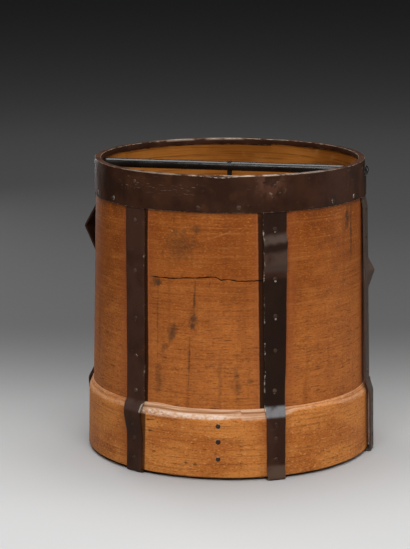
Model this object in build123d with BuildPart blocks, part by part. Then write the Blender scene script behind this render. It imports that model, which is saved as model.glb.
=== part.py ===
from build123d import *
import os
from math import acos, cos, degrees, radians, sin

# A bentwood grain measure: a tub of one bent wooden sheet with a wide bevelled hoop round its
# foot, bound with an iron rim band and six iron straps, and with an iron crossbar and rod that
# keep the mouth from being forced out of true. Millimetres, +Z up, origin on the floor under
# the centre of the tub, +X along the crossbar.

# Wall: a wooden sheet bent round until its ends lap, a little wider at the foot than at the rim
HEIGHT = 268.0
WALL_TOP_RADIUS = 121.7
WALL_FOOT_RADIUS = 126.9
WALL = 3.4
WALL_SEAM_ANGLE = 158.0

# Hoop: a second bent sheet round the foot, bevelled towards the wall
HOOP_TOP = 63.6
HOOP_BEVEL = 8.1
HOOP = 3.8
HOOP_LAND = 0.6
HOOP_EDGE = 1.5
HOOP_SEAM_ANGLE = -73.3

# Both laps: cut by a flat plane that starts just inside the sheet, and nailed behind the seam
SCARF_DIP = 0.1
SCARF_SLIT = 0.2
SCARF_PAST_SEAM = 5.0
LAP_NAIL_SETBACK = 9.2

# Bottom: three boards let into the wall, clear of the floor
FOOT_RECESS = 26.3
BOARD = 15.0
MIDDLE_BOARD_WIDTH = 92.0

# Rim band: an iron strip folded over the rim, raised over the straps, its ends lapped at the back
BAND_HEIGHT = 31.7
BAND = 1.0
BAND_EDGE = 0.7
LIP_DEPTH = 5.2
LIP_STEP = 1.0
LIP_STEP_END = 6.0
BAND_SEAM_ANGLE = 81.6
BAND_SLIT = 0.4
BAND_LAP = 7.0
BAND_LAP_ROOT = 2.0
BAND_LAP_INSET = 3.0
PAD_TAPER = 45.0

# Straps: from under the band, down the wall, over the hoop and folded in under the foot
STRAP = 1.5
STRAP_TOP_WIDTH = 21.5
STRAP_FOOT_WIDTH = 16.5
STRAP_END_GAP = 4.0
FOLD = 13.0
FOLD_BEND = 1.5
BOW_BEND = 3 * STRAP

# Crossbar and centre rod
BAR_DIAMETER = 8.4
BAR_DROP = 4.5
TENON_WIDTH = 4.5
RIVET_DIAMETER = 10.0
RIVET_HEIGHT = 3.0
RIVET_TAPER = 40.0
RIVET_SIDES = 8
ROD_DIAMETER = 4.5
ROD_TENON_DIAMETER = 3.4
PEEN_OVERHANG = 1.3
PEEN_HEIGHT = 0.8
COLLAR_DIAMETER = 11.0
COLLAR_HEIGHT = 3.0
ROVE_WIDTH = 26.0
ROVE_CLIP = 5.2
ROVE = 2.0

# Nails: square shanks with small faceted heads
NAIL_SHANK = 1.8
NAIL_HEAD_DIAMETER = 4.4
NAIL_HEAD_HEIGHT = 1.0
NAIL_HEAD_TAPER = 35.0
NAIL_HEAD_SIDES = 6
NAIL_BITE = 2.5
BOARD_NAIL_BITE = 12.0
RIM_NAIL_INSET = 4.6
RIM_NAIL_TURNS = (-1.0, 15.3)
LAP_NAIL_SHARES = (0.1, 0.3, 0.5, 0.7, 0.9)
HOOP_LAP_NAIL_SHARES = (0.35, 0.63, 0.89)

# Clearance between pieces that seat on each other, and round a nail
FIT = 0.1
NAIL_FIT = 0.05

# Where the straps stand: two carry the ends of the crossbar, and four stand between
STRAP_ANGLES = {
    "bar_right": 0,
    "back_right": 60,
    "back_left": 120,
    "bar_left": 180,
    "front_left": 240,
    "front_right": 300,
}

# How the straps have sprung from the wall, from above: share of the bare wall's height, stand-off
STRAP_BOWS = {
    "bar_right": ((0.99, 0), (0.95, 2.8), (0.665, 3.2), (0.60, 9.6), (0.503, 3.4), (0.06, 3.8)),
    "bar_left": ((0.918, 0), (0.797, 11.0), (0.66, 0), (0.05, 0)),
    "front_right": (
        (0.89, 0), (0.843, 3.6), (0.808, 1.6), (0.733, 3.4), (0.699, 1.5), (0.215, 1.5), (0.123, 0)
    ),
}
STRAP_JOGGLE_LIFTS = {"bar_right": 3.8, "bar_left": 2.0}
STRAP_HOOP_LIFTS = {"bar_right": 2.8}

# Nails of each strap on the bare wall, as shares of its height
STRAP_NAIL_SHARES = {
    "bar_right": (0.93, 0.78, 0.42, 0.28, 0.06),
    "back_right": (0.93, 0.67, 0.44, 0.24, 0.06),
    "back_left": (0.92, 0.68, 0.45, 0.26, 0.07),
    "bar_left": (0.96, 0.56, 0.42, 0.26, 0.07),
    "front_left": (0.938, 0.677, 0.431, 0.233, 0.054),
    "front_right": (0.915, 0.667, 0.474, 0.30, 0.09),
}

# Nails of each strap through the hoop: two into the wall, as shares of the hoop's upright face,
# and one on into the edge of a bottom board, as a share of the board's thickness
FOOT_NAIL_SHARES = {
    "bar_right": (0.83, 0.26),
    "back_right": (0.85, 0.27),
    "back_left": (0.81, 0.25),
    "bar_left": (0.83, 0.26),
    "front_left": (0.79, 0.23),
    "front_right": (0.89, 0.32),
}
BOARD_NAIL_SHARES = {
    "bar_right": 0.5,
    "back_right": 0.6,
    "back_left": 0.4,
    "bar_left": 0.5,
    "front_left": 0.29,
    "front_right": 0.73,
}

# Heights and radii that follow from the sizes above
WALL_SLOPE = (WALL_FOOT_RADIUS - WALL_TOP_RADIUS) / HEIGHT
WALL_TOP = HEIGHT - BAND
BAND_LOW = HEIGHT - BAND_HEIGHT
BEVEL_LOW = HOOP_TOP - HOOP_BEVEL
BOARD_LOW = FOOT_RECESS
BOARD_TOP = BOARD_LOW + BOARD
BAR_TOP = HEIGHT - BAR_DROP
BAR_LOW = BAR_TOP - BAR_DIAMETER
BAR_MIDDLE = (BAR_TOP + BAR_LOW) / 2
STRAP_TOP = WALL_TOP - STRAP_END_GAP
NAIL_HOLE = NAIL_SHANK + 2 * NAIL_FIT

# How far the faces that nails and rivets sit on stand out from the wall
ON_BAND = FIT + BAND
ON_STRAP = FIT + STRAP
ON_HOOP = FIT + HOOP
ON_HOOP_STRAP = ON_HOOP + ON_STRAP
ON_BAND_PAD = ON_STRAP + ON_BAND


def wall_radius(z):
    """Outer radius of the wall at a height."""
    return WALL_FOOT_RADIUS - WALL_SLOPE * z


def bare_wall(share):
    """Height on the bare wall between the hoop and the rim band, as a share from below."""
    return HOOP_TOP + share * (BAND_LOW - HOOP_TOP)


def face_plane(angle, z, stand_off):
    """Plane along the wall, a stand-off out from it: X runs round, Y up the wall, Z outward."""
    turn = radians(angle)
    radius = wall_radius(z) + stand_off
    return Plane(
        origin=(radius * cos(turn), radius * sin(turn), z),
        x_dir=(-sin(turn), cos(turn), 0),
        z_dir=(cos(turn), sin(turn), WALL_SLOPE),
    )


def radial_plane(angle):
    """Upright plane through the axis: X runs outward, Y up."""
    turn = radians(angle)
    return Plane(
        origin=(0, 0, 0), x_dir=(cos(turn), sin(turn), 0), z_dir=(sin(turn), -cos(turn), 0)
    )


def ring_section(inner, outer, low, top):
    """Outline of a ring along the wall, between two stand-offs and two heights."""
    return (
        (wall_radius(low) + inner, low),
        (wall_radius(low) + outer, low),
        (wall_radius(top) + outer, top),
        (wall_radius(top) + inner, top),
    )


def core_section(stand_off, low, top):
    """Half outline of the solid that fills the wall's round up to a stand-off."""
    return ((0, low), (wall_radius(low) + stand_off, low), (wall_radius(top) + stand_off, top), (0, top))


def strap_lift(name, share):
    """Stand-off of a strap from the wall at a share of the bare wall's height."""
    bow = (*STRAP_BOWS.get(name, ()), (0, STRAP_JOGGLE_LIFTS.get(name, 0)))
    for (upper, upper_lift), (lower, lower_lift) in zip(bow, bow[1:]):
        if lower <= share <= upper:
            return upper_lift + (lower_lift - upper_lift) * (upper - share) / (upper - lower)
    return 0


def nail_seat(angle, z, stand_off):
    """Plane under a nail's head, where the face that it holds stands off from the wall."""
    return face_plane(angle, z, stand_off + NAIL_FIT)


def strap_nails(name):
    """Seats and lengths of a strap's nails on the bare wall: where it has sprung they are longer."""
    stand_offs = [(share, ON_STRAP + strap_lift(name, share)) for share in STRAP_NAIL_SHARES[name]]
    return [
        (nail_seat(STRAP_ANGLES[name], bare_wall(share), stand_off), stand_off + NAIL_BITE)
        for share, stand_off in stand_offs
    ]


def foot_nail_seats(name):
    """Seats of a strap's nails on the hoop that reach into the wall."""
    stand_off = ON_HOOP_STRAP + STRAP_HOOP_LIFTS.get(name, 0)
    return [nail_seat(STRAP_ANGLES[name], share * BEVEL_LOW, stand_off) for share in FOOT_NAIL_SHARES[name]]


def board_nail_seat(name):
    """Seat of a strap's nail on the hoop that reaches into a bottom board."""
    stand_off = ON_HOOP_STRAP + STRAP_HOOP_LIFTS.get(name, 0)
    return nail_seat(STRAP_ANGLES[name], BOARD_LOW + BOARD_NAIL_SHARES[name] * BOARD, stand_off)


def nail_holes(seats, length):
    """Cut the square holes of a row of nails into the piece being made."""
    with Locations(*seats):
        Box(
            NAIL_HOLE, NAIL_HOLE, length,
            align=(Align.CENTER, Align.CENTER, Align.MAX), mode=Mode.SUBTRACT,
        )


def tenon_hole():
    """Cut the crossbar's tenon holes into the piece being made."""
    with Locations((0, 0, BAR_MIDDLE)):
        Box(3 * WALL_FOOT_RADIUS, TENON_WIDTH + 2 * FIT, TENON_WIDTH + 2 * FIT, mode=Mode.SUBTRACT)


def scarf_cut(seam_angle, inner, outer):
    """Slit the bent sheet being made from its outer seam to its inner face, so its ends lap."""
    middle = HEIGHT / 2
    foot_radius = wall_radius(middle) + inner - SCARF_DIP
    seam_turn = acos(foot_radius / (wall_radius(middle) + outer))
    reach = (wall_radius(middle) + outer) * sin(seam_turn) + SCARF_PAST_SEAM
    with Locations(face_plane(seam_angle - degrees(seam_turn), middle, inner - SCARF_DIP)):
        Box(
            reach, 2 * HEIGHT, SCARF_SLIT,
            align=(Align.MIN, Align.CENTER, Align.MAX), mode=Mode.SUBTRACT,
        )


# Nails, by the pieces that they hold
NAILED_STRAPS = [name for name in STRAP_ANGLES if not name.startswith("bar")]
ALL_STRAP_NAILS = [nail for name in STRAP_ANGLES for nail in strap_nails(name)]
ALL_FOOT_SEATS = [seat for name in STRAP_ANGLES for seat in foot_nail_seats(name)]
ALL_BOARD_SEATS = [board_nail_seat(name) for name in STRAP_ANGLES]
STRAP_END_SEATS = {name: nail_seat(STRAP_ANGLES[name], BAR_MIDDLE, ON_BAND_PAD) for name in NAILED_STRAPS}
STRAP_SPACING = 360 / len(STRAP_ANGLES)
RIM_SEATS = [
    nail_seat(angle + STRAP_SPACING / 2 + turn, BAND_LOW + RIM_NAIL_INSET, ON_BAND)
    for angle in STRAP_ANGLES.values()
    for turn in RIM_NAIL_TURNS
]
WALL_LAP_SEATS = [
    nail_seat(WALL_SEAM_ANGLE - LAP_NAIL_SETBACK, bare_wall(share), 0) for share in LAP_NAIL_SHARES
]
HOOP_LAP_SEATS = [
    nail_seat(HOOP_SEAM_ANGLE - LAP_NAIL_SETBACK, share * BEVEL_LOW, ON_HOOP)
    for share in HOOP_LAP_NAIL_SHARES
]
FOOT_NAIL_LENGTH = ON_HOOP_STRAP + NAIL_BITE
BOARD_NAIL_LENGTH = ON_HOOP_STRAP + WALL + BOARD_NAIL_BITE
STRAP_END_NAIL_LENGTH = ON_BAND_PAD + NAIL_BITE
RIM_NAIL_LENGTH = ON_BAND + NAIL_BITE
HOOP_LAP_NAIL_LENGTH = ON_HOOP + NAIL_BITE

# Body wall
with BuildPart() as body_wall:
    with BuildSketch(Plane.XZ):
        Polygon(*ring_section(-WALL, 0, STRAP, WALL_TOP), align=None)
    revolve(axis=Axis.Z)
    scarf_cut(WALL_SEAM_ANGLE, -WALL, 0)
    for seat, length in ALL_STRAP_NAILS:
        nail_holes([seat], length)
    nail_holes(ALL_FOOT_SEATS, FOOT_NAIL_LENGTH)
    nail_holes(ALL_BOARD_SEATS, BOARD_NAIL_LENGTH)
    nail_holes(STRAP_END_SEATS.values(), STRAP_END_NAIL_LENGTH)
    nail_holes(RIM_SEATS, RIM_NAIL_LENGTH)
    nail_holes(WALL_LAP_SEATS, NAIL_BITE)
    nail_holes(HOOP_LAP_SEATS, HOOP_LAP_NAIL_LENGTH)
    tenon_hole()

# Base hoop
with BuildPart() as base_hoop:
    with BuildSketch(Plane.XZ) as hoop_section:
        Polygon(
            (wall_radius(STRAP) + FIT, STRAP),
            (wall_radius(STRAP) + ON_HOOP, STRAP),
            (wall_radius(BEVEL_LOW) + ON_HOOP, BEVEL_LOW),
            (wall_radius(HOOP_TOP) + FIT + HOOP_LAND, HOOP_TOP),
            (wall_radius(HOOP_TOP) + FIT, HOOP_TOP),
            align=None,
        )
        chamfer(hoop_section.vertices().sort_by(Axis.X)[-1], HOOP_EDGE)
    revolve(axis=Axis.Z)
    scarf_cut(HOOP_SEAM_ANGLE, FIT, ON_HOOP)
    nail_holes(ALL_FOOT_SEATS, FOOT_NAIL_LENGTH)
    nail_holes(ALL_BOARD_SEATS, BOARD_NAIL_LENGTH)
    nail_holes(HOOP_LAP_SEATS, HOOP_LAP_NAIL_LENGTH)


def bottom_board(near, far):
    """Board of the bottom between two distances in Y, shaped to the wall and bored for the rod."""
    with BuildPart() as board:
        with BuildSketch(Plane.XZ):
            Polygon(*core_section(-WALL - FIT, BOARD_LOW, BOARD_TOP), align=None)
        revolve(axis=Axis.Z)
        with Locations((0, (near + far) / 2, BOARD_LOW)):
            Box(2 * WALL_FOOT_RADIUS, far - near, 3 * BOARD, mode=Mode.INTERSECT)
        nail_holes(ALL_BOARD_SEATS, BOARD_NAIL_LENGTH)
        if near < 0 < far:
            Hole(ROD_DIAMETER / 2 + FIT)
    return board


bottom_board_front = bottom_board(-WALL_FOOT_RADIUS, -MIDDLE_BOARD_WIDTH / 2 - FIT)
bottom_board_back = bottom_board(MIDDLE_BOARD_WIDTH / 2 + FIT, WALL_FOOT_RADIUS)
bottom_board_middle = bottom_board(-MIDDLE_BOARD_WIDTH / 2, MIDDLE_BOARD_WIDTH / 2)

# Rim band: an iron strip folded over the rim, raised over the end of each strap
PAD_TOP = STRAP_TOP + FIT + BAND
LAP_TOP = HEIGHT - BAND_LAP_INSET
BELOW_BAND = BAND_LOW - BAND_HEIGHT
with BuildPart() as rim_band:
    with BuildSketch(Plane.XZ):
        Polygon(*core_section(ON_BAND, BELOW_BAND, HEIGHT), align=None)
    revolve(axis=Axis.Z)
    with BuildSketch(*[face_plane(angle, PAD_TOP, 0) for angle in STRAP_ANGLES.values()]):
        with Locations((0, ON_BAND_PAD)):
            Rectangle(
                STRAP_TOP_WIDTH + 2 * (BAND + ON_BAND_PAD), PAD_TOP - BELOW_BAND,
                align=(Align.CENTER, Align.MAX),
            )
    extrude(amount=ON_BAND_PAD, taper=PAD_TAPER)
    # Hollowed for the wall, the mouth and below the lip, and cut level along the lower edge
    with BuildSketch(Plane.XZ):
        Polygon(*ring_section(-WALL - FIT, FIT, 0, WALL_TOP), align=None)
    revolve(axis=Axis.Z, mode=Mode.SUBTRACT)
    with BuildSketch(Plane.XZ):
        Polygon(*core_section(-WALL - ON_BAND, 0, 2 * HEIGHT), align=None)
    revolve(axis=Axis.Z, mode=Mode.SUBTRACT)
    with BuildSketch(Plane.XZ):
        Polygon(*core_section(-WALL / 2, 0, HEIGHT - LIP_DEPTH), align=None)
    revolve(axis=Axis.Z, mode=Mode.SUBTRACT)
    with Locations((0, 0, BAND_LOW)):
        Cylinder(
            2 * WALL_FOOT_RADIUS, HEIGHT,
            align=(Align.CENTER, Align.CENTER, Align.MAX), mode=Mode.SUBTRACT,
        )
    chamfer(rim_band.edges().filter_by(GeomType.CIRCLE).group_by(Axis.Z)[-1], BAND_EDGE)
    # The strip's ends: a slit at the back, a shallower lip beyond it and a tongue lapped over it
    with Locations(face_plane(BAND_SEAM_ANGLE, HEIGHT, 0)):
        Box(BAND_SLIT, 3 * BAND_HEIGHT, 4 * WALL, mode=Mode.SUBTRACT)
    with BuildSketch(radial_plane(LIP_STEP_END)):
        Polygon(
            *ring_section(-2 * WALL, -WALL, HEIGHT - 2 * LIP_DEPTH, HEIGHT - LIP_DEPTH + LIP_STEP),
            align=None,
        )
    revolve(axis=Axis.Z, revolution_arc=BAND_SEAM_ANGLE - LIP_STEP_END, mode=Mode.SUBTRACT)
    with BuildSketch(radial_plane(BAND_SEAM_ANGLE - BAND_LAP)):
        Polygon(*ring_section(ON_BAND + FIT, 2 * ON_BAND, BAND_LOW, LAP_TOP), align=None)
    revolve(axis=Axis.Z, revolution_arc=BAND_LAP + BAND_LAP_ROOT)
    with BuildSketch(radial_plane(BAND_SEAM_ANGLE + BAND_LAP_ROOT / 2)):
        Polygon(*ring_section(ON_BAND / 2, 2 * ON_BAND, BAND_LOW, LAP_TOP), align=None)
    revolve(axis=Axis.Z, revolution_arc=BAND_LAP_ROOT / 2)
    # Room for the strap ends, the nails, the crossbar under the lip and its tenons
    with Locations(*[face_plane(angle, STRAP_TOP + FIT, ON_STRAP + FIT) for angle in STRAP_ANGLES.values()]):
        Box(
            STRAP_TOP_WIDTH + 2 * FIT, 2 * BAND_HEIGHT, WALL,
            align=(Align.CENTER, Align.MAX, Align.MAX), mode=Mode.SUBTRACT,
        )
    nail_holes(STRAP_END_SEATS.values(), STRAP_END_NAIL_LENGTH)
    nail_holes(RIM_SEATS, RIM_NAIL_LENGTH)
    with Locations((0, 0, BAR_MIDDLE)):
        Cylinder(
            BAR_DIAMETER / 2 + FIT, 2 * wall_radius(BAR_MIDDLE) - WALL,
            rotation=(0, 90, 0), mode=Mode.SUBTRACT,
        )
    tenon_hole()


def strap(name):
    """Iron strap bent to the wall, its bows and the hoop, with its end folded under the foot."""
    angle = STRAP_ANGLES[name]
    hoop_seat = ON_HOOP + FIT + STRAP_HOOP_LIFTS.get(name, 0)
    joggle_top = HOOP_TOP + (HOOP_LAND + FIT) * HOOP_BEVEL / (HOOP - HOOP_LAND)
    path = [(wall_radius(STRAP_TOP) + FIT, STRAP_TOP)]
    bends = []
    for share, lift in STRAP_BOWS.get(name, ()):
        height = bare_wall(share)
        path.append((wall_radius(height) + FIT + lift, height))
        bends.append(BOW_BEND)
    path.append((wall_radius(joggle_top) + FIT + STRAP_JOGGLE_LIFTS.get(name, 0), joggle_top))
    bends.append(BOW_BEND)
    path.append((wall_radius(BEVEL_LOW) + hoop_seat, BEVEL_LOW))
    bends.append(0)
    path.append((wall_radius(STRAP) + hoop_seat, STRAP))
    bends.append(FOLD_BEND)
    path.append((wall_radius(STRAP) + ON_HOOP - FOLD, STRAP))
    with BuildPart() as piece:
        with BuildSketch(radial_plane(angle)):
            with BuildLine():
                FilletPolyline(*path, radius=bends)
                offset(amount=STRAP, side=Side.LEFT)
            make_face()
        extrude(amount=STRAP_TOP_WIDTH, both=True)
        with BuildSketch(face_plane(angle, 0, 0)):
            Polygon(
                (-STRAP_FOOT_WIDTH / 2, -STRAP),
                (STRAP_FOOT_WIDTH / 2, -STRAP),
                (STRAP_TOP_WIDTH / 2, HEIGHT),
                (-STRAP_TOP_WIDTH / 2, HEIGHT),
                align=None,
            )
        extrude(amount=WALL_FOOT_RADIUS / 2, both=True, mode=Mode.INTERSECT)
        for seat, length in strap_nails(name):
            nail_holes([seat], length)
        nail_holes(foot_nail_seats(name), FOOT_NAIL_LENGTH)
        nail_holes([board_nail_seat(name)], BOARD_NAIL_LENGTH)
        if name in STRAP_END_SEATS:
            nail_holes([STRAP_END_SEATS[name]], STRAP_END_NAIL_LENGTH)
        else:
            tenon_hole()
    return piece


straps = {f"strap_{name}": strap(name) for name in STRAP_ANGLES}

# Crossbar: a round bar shouldered against the wall, its square tenons riveted over outside
RIVET_SEAT = wall_radius(BAR_MIDDLE) + ON_BAND_PAD + FIT
with BuildPart() as crossbar:
    with BuildSketch(Plane(origin=(0, 0, BAR_MIDDLE), z_dir=(1, 0, 0))):
        Circle(BAR_DIAMETER / 2)
    extrude(amount=WALL_FOOT_RADIUS, both=True)
    with BuildSketch(Plane.XZ):
        Polygon(*core_section(-WALL - FIT, BAR_LOW - FIT, BAR_TOP + FIT), align=None)
    revolve(axis=Axis.Z, mode=Mode.INTERSECT)
    with Locations((0, 0, BAR_MIDDLE)):
        Box(2 * RIVET_SEAT + RIVET_HEIGHT, TENON_WIDTH, TENON_WIDTH)
    with BuildSketch(
        Plane(origin=(RIVET_SEAT, 0, BAR_MIDDLE), z_dir=(1, 0, 0)),
        Plane(origin=(-RIVET_SEAT, 0, BAR_MIDDLE), z_dir=(-1, 0, 0)),
    ):
        RegularPolygon(RIVET_DIAMETER / 2, RIVET_SIDES)
    extrude(amount=RIVET_HEIGHT, taper=RIVET_TAPER)
    with Locations((0, 0, BAR_TOP)):
        Hole(ROD_TENON_DIAMETER / 2 + FIT)

# Centre rod: peened over the crossbar, a collar on the bottom and its tail peened under a rove
ROVE_LOW = BOARD_LOW - FIT - ROVE
with BuildPart() as centre_rod:
    with BuildSketch(Plane.XZ):
        Polygon(
            (0, BAR_TOP + FIT + PEEN_HEIGHT),
            (ROD_TENON_DIAMETER / 2, BAR_TOP + FIT + PEEN_HEIGHT),
            (ROD_TENON_DIAMETER / 2 + PEEN_OVERHANG, BAR_TOP + FIT),
            (ROD_TENON_DIAMETER / 2, BAR_TOP + FIT),
            (ROD_TENON_DIAMETER / 2, BAR_LOW),
            (ROD_DIAMETER / 2, BAR_LOW),
            (ROD_DIAMETER / 2, BOARD_TOP + COLLAR_HEIGHT),
            (COLLAR_DIAMETER / 2, BOARD_TOP + COLLAR_HEIGHT),
            (COLLAR_DIAMETER / 2, BOARD_TOP),
            (ROD_DIAMETER / 2, BOARD_TOP),
            (ROD_DIAMETER / 2, ROVE_LOW - FIT),
            (ROD_DIAMETER / 2 + PEEN_OVERHANG, ROVE_LOW - FIT),
            (ROD_DIAMETER / 2, ROVE_LOW - FIT - PEEN_HEIGHT),
            (0, ROVE_LOW - FIT - PEEN_HEIGHT),
            align=None,
        )
    revolve(axis=Axis.Z)

# Rove: an iron plate with clipped corners under the bottom
with BuildPart() as rod_rove:
    with BuildSketch(Plane.XY.offset(ROVE_LOW)) as rove_outline:
        Rectangle(ROVE_WIDTH, ROVE_WIDTH)
        chamfer(rove_outline.vertices(), ROVE_CLIP)
        Circle(ROD_DIAMETER / 2 + FIT, mode=Mode.SUBTRACT)
    extrude(amount=ROVE)


def nail_group(*rows):
    """Nails of one kind, given as rows of seats with a length from under the head to the point."""
    with BuildPart() as group:
        with BuildSketch(*[seat for seats, length in rows for seat in seats]):
            RegularPolygon(NAIL_HEAD_DIAMETER / 2, NAIL_HEAD_SIDES)
        extrude(amount=NAIL_HEAD_HEIGHT, taper=NAIL_HEAD_TAPER)
        for seats, length in rows:
            with Locations(*seats):
                Box(
                    NAIL_SHANK, NAIL_SHANK, length,
                    align=(Align.CENTER, Align.CENTER, Align.MAX),
                )
    return group


pieces = {
    "body_wall": body_wall,
    "base_hoop": base_hoop,
    "bottom_board_front": bottom_board_front,
    "bottom_board_middle": bottom_board_middle,
    "bottom_board_back": bottom_board_back,
    "rim_band": rim_band,
    **straps,
    "crossbar": crossbar,
    "centre_rod": centre_rod,
    "rod_rove": rod_rove,
    "strap_nails": nail_group(*[([seat], length) for seat, length in ALL_STRAP_NAILS]),
    "foot_nails": nail_group((ALL_FOOT_SEATS, FOOT_NAIL_LENGTH), (ALL_BOARD_SEATS, BOARD_NAIL_LENGTH)),
    "strap_end_nails": nail_group((list(STRAP_END_SEATS.values()), STRAP_END_NAIL_LENGTH)),
    "rim_nails": nail_group((RIM_SEATS, RIM_NAIL_LENGTH)),
    "hoop_lap_nails": nail_group((HOOP_LAP_SEATS, HOOP_LAP_NAIL_LENGTH)),
    "wall_lap_nails": nail_group((WALL_LAP_SEATS, NAIL_BITE)),
}

os.makedirs("parts", exist_ok=True)
for name, piece in pieces.items():
    piece.part.label = name
    export_step(piece.part, f"parts/{name}.step")
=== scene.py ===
import random
from math import atan2, cos, exp, hypot, pi, radians, sin

import bmesh
import bpy
from mathutils import Matrix, Vector, noise


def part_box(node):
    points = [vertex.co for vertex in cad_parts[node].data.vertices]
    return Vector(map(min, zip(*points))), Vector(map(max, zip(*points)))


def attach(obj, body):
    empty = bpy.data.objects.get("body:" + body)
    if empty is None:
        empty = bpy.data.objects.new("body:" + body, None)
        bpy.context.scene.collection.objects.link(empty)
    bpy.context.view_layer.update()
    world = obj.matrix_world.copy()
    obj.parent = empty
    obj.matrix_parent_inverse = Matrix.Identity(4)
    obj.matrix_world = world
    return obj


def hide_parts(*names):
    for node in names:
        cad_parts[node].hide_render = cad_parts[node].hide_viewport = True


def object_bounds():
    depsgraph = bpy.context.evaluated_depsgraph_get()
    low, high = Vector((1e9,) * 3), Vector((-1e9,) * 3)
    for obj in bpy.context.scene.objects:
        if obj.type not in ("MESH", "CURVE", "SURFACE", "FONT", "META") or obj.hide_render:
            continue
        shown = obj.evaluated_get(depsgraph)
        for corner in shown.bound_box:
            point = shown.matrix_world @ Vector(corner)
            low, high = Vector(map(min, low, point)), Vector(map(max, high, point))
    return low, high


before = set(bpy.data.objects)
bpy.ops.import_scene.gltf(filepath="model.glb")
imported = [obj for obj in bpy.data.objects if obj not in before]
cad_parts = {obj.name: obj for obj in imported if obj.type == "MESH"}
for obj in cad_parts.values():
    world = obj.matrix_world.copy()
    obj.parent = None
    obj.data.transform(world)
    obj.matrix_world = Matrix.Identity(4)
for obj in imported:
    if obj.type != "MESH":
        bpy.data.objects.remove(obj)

# A bentwood grain measure: a bent wooden wall and foot hoop, an iron rim band, six nailed iron
# straps, and an iron bar across the mouth with a rod down to the bottom. Metres, +Z up.
CAD_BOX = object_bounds()

# Heights that the frame gives
HEIGHT = CAD_BOX[1].z
HOOP_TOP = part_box("base_hoop")[1].z
BAND_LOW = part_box("rim_band")[0].z
BOARD_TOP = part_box("bottom_board_middle")[1].z
ROD_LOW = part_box("centre_rod")[0].z
ROD_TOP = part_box("centre_rod")[1].z
BAR_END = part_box("crossbar")[1].x
BAR_MIDDLE = (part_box("crossbar")[0].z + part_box("crossbar")[1].z) / 2

# Wooden wall and hoop
WALL_TOP_RADIUS = 0.1217
WALL_FOOT_RADIUS = 0.1269
WALL = 0.0034
WALL_SEAM = radians(158.0)
WALL_INNER_SEAM = radians(144.4)
HOOP = 0.0038
HOOP_BEVEL = 0.0081
HOOP_LAND = 0.0006
HOOP_SEAM = radians(-73.3)
FIT = 0.0001

# How far the lapped ends of the sheets stand up, and how far from the seam they lie down again
WALL_LAP_LIFT = 0.0007
WALL_INNER_LAP_LIFT = 0.0005
HOOP_LAP_LIFT = 0.0005
BAND_LAP_LIFT = 0.0010
LAP_EASE = 0.014

# Unevenness of the sheets, as swells: height, size, seed
WALL_SWELLS = ((0.00025, 0.06, 3), (0.0001, 0.018, 8))
HOOP_SWELLS = ((0.00018, 0.05, 21), (0.00007, 0.012, 30))
BAND_DENTS = ((0.00030, 0.016, 70), (0.00010, 0.006, 75))

# Iron rim band
BAND = 0.0010
LIP_DEPTH = 0.0052
LIP_STEP = 0.0010
LIP_STEP_START = radians(6.0)
BAND_SEAM = radians(81.6)

# Iron straps, named by where they stand
STRAP = 0.0015
STRAP_TOP_WIDTH = 0.0215
STRAP_FOOT_WIDTH = 0.0165
STRAP_END_GAP = 0.0040
FOLD = 0.0130
STRAP_ANGLES = {
    "bar_right": radians(0),
    "back_right": radians(60),
    "back_left": radians(120),
    "bar_left": radians(180),
    "front_left": radians(-120),
    "front_right": radians(-60),
}

# How the straps have sprung from the wall, from above: share of the bare wall's height, stand-off
STRAP_BOWS = {
    "bar_right": (
        (0.99, 0), (0.95, 0.0028), (0.665, 0.0032), (0.60, 0.0096), (0.503, 0.0034), (0.06, 0.0038),
    ),
    "bar_left": ((0.918, 0), (0.797, 0.0110), (0.66, 0), (0.025, 0)),
    "front_right": (
        (0.89, 0), (0.843, 0.0036), (0.808, 0.0016), (0.733, 0.0034), (0.699, 0.0015),
        (0.215, 0.0015), (0.123, 0),
    ),
}
STRAP_JOGGLE_LIFTS = {"bar_right": 0.0038, "bar_left": 0.0020}
STRAP_HOOP_LIFTS = {"bar_right": 0.0028}

# How far one edge of a sprung strap has stayed behind, as a share of the bow above a stand-off
STRAP_TWISTS = {"bar_left": (0.65, 0.0), "bar_right": (0.90, 0.0034)}

# How far a strap leans to its side at the top of the hoop, and on the hoop
STRAP_LEANS = {"front_left": (0.0022, 0.0046)}

# How far a strap stands off at the bevel's lower edge, and where this starts above the hoop and ends
# below that edge
STRAP_BULGES = {"front_left": 0.0038, "bar_left": 0.0022}
BULGE_START = 0.002
BULGE_EASE = 0.001
BULGE_END = 0.024

# How far the foot of the front right strap bulges, and the height that this starts from
FOOT_BULGE = 0.0026
FOOT_BULGE_TOP = 0.013

# How far a sprung strap has settled back towards the wall
STRAP_SETTLES = {"bar_right": 0.0009}

# Wear of the straps: share at the edges, the side rubbed most with its wear, how far from the middle
# that side starts, and the painted highlights of bare metal on a corner and below the front right
# strap's nails
STRAP_RUBBED = {"bar_right": 0.4, "bar_left": 0.4}
RUBBED_SIDES = {"front_left": (1, 0.52), "front_right": (-1, 0.62)}
RUBBED_FROM = 0.44
CORNER_HIGHLIGHT = 1.5
FRONT_NAIL_HIGHLIGHT = 1.35

# How much wider the front straps were forged: at the band and just above the hoop, then on the hoop
STRAP_SPREADS = {"front_left": (0.0014, 0.0036), "front_right": (0.0012, 0.0014)}
HOOP_SPREADS = {"front_left": 0.0014}

# Bar across the mouth, rod and nails
BAR_RADIUS = 0.0042
RIVET_RADIUS = 0.0050
RIVET_HEIGHT = 0.0030
ROD_RADIUS = 0.00225
COLLAR_RADIUS = 0.0055
COLLAR_HEIGHT = 0.0030
PEEN_RADIUS = 0.0033
PEEN_HEIGHT = 0.0010
ROD_ROWS = 60
NAIL_RADIUS = 0.0022
NAIL_HEIGHT = 0.0010
DIMPLE_RADIUS = 0.0036
DIMPLE_DEPTH = 0.0008
# How far below a nail, and how wide, the painted highlight in its dimple lies
NAIL_HIGHLIGHT_REACH = 0.6 * DIMPLE_RADIUS

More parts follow.
